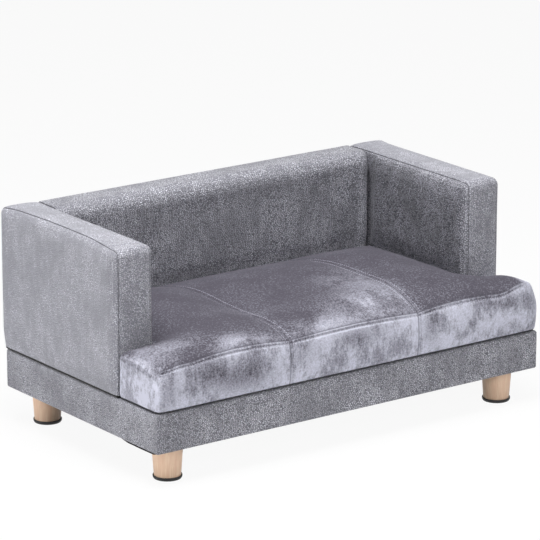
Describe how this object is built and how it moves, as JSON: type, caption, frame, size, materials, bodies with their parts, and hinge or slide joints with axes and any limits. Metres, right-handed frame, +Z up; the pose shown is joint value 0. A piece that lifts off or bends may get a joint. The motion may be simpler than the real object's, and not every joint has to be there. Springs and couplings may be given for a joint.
{
  "type": "dog sofa bed",
  "caption": "Small upholstered pet sofa: a padded base on turned wooden legs, padded arms and back, and a loose T-shaped seat cushion with a zipped velvet cover.",
  "frame": {"origin": "on the floor, under the middle of the base", "axes": "+Z up, +Y from the open front towards the back, +X to the right as seen from the front"},
  "size_m": [0.685, 0.39, 0.323],
  "materials": {
    "faux_leather": "grey embossed faux leather, matt",
    "velvet": "grey crushed velvet",
    "foam": "open-cell polyurethane foam",
    "black_nonwoven": "black spun-bonded dust cloth",
    "zip_tape": "woven polyester zip tape with coil",
    "zip_metal": "painted die-cast zinc",
    "leg_wood": "turned pale hardwood, clear matt lacquer",
    "pad_rubber": "black moulded rubber",
    "zinc_steel": "zinc-plated steel",
    "plywood": "raw plywood",
    "softwood": "raw sawn softwood"
  },
  "bodies": {
    "sofa": {"back_bottom_rail": "softwood", "back_cover": "faux_leather", "back_front_board": "plywood", "back_front_foam": "foam", "back_left_post": "softwood", "back_rear_board": "plywood", "back_right_post": "softwood", "back_top_foam": "foam", "back_top_rail": "softwood", "base_corner_blocks": "softwood", "base_cover": "faux_leather", "base_front_rail": "softwood", "base_left_rail": "softwood", "base_left_slat": "softwood", "base_rear_rail": "softwood", "base_right_rail": "softwood", "base_right_slat": "softwood", "dust_cover": "black_nonwoven", "dust_cover_staples": "zinc_steel", "frame_bolts": "zinc_steel", "frame_insert_nuts": "zinc_steel", "frame_washers": "zinc_steel", "left_arm_bottom_rail": "softwood", "left_arm_cover": "faux_leather", "left_arm_front_foam": "foam", "left_arm_front_post": "softwood", "left_arm_inner_board": "plywood", "left_arm_inner_foam": "foam", "left_arm_outer_board": "plywood", "left_arm_rear_post": "softwood", "left_arm_top_foam": "foam", "left_arm_top_rail": "softwood", "leg_front_left": "leg_wood", "leg_front_right": "leg_wood", "leg_hanger_bolts": "zinc_steel", "leg_rear_left": "leg_wood", "leg_rear_right": "leg_wood", "leg_tee_nuts": "zinc_steel", "pad_front_left": "pad_rubber", "pad_front_right": "pad_rubber", "pad_rear_left": "pad_rubber", "pad_rear_right": "pad_rubber", "pad_screws": "zinc_steel", "right_arm_bottom_rail": "softwood", "right_arm_cover": "faux_leather", "right_arm_front_foam": "foam", "right_arm_front_post": "softwood", "right_arm_inner_board": "plywood", "right_arm_inner_foam": "foam", "right_arm_outer_board": "plywood", "right_arm_rear_post": "softwood", "right_arm_top_foam": "foam", "right_arm_top_rail": "softwood", "seat_deck": "plywood"},
    "seat_cushion": {"cushion_cover": "velvet", "cushion_front_foam": "foam", "cushion_seat_foam": "foam", "cushion_zip": "zip_tape"},
    "zip_slider": {"zip_slider": "zip_metal"}
  },
  "joints": [
    {"name": "cushion_lift", "type": "slide", "parent": "sofa", "child": "seat_cushion", "axis": [0, 0, 1], "range_m": [0, 0.3]},
    {"name": "zip_run", "type": "slide", "parent": "seat_cushion", "child": "zip_slider", "axis": [1, 0, 0], "range_m": [-0.454, 0]}
  ]
}
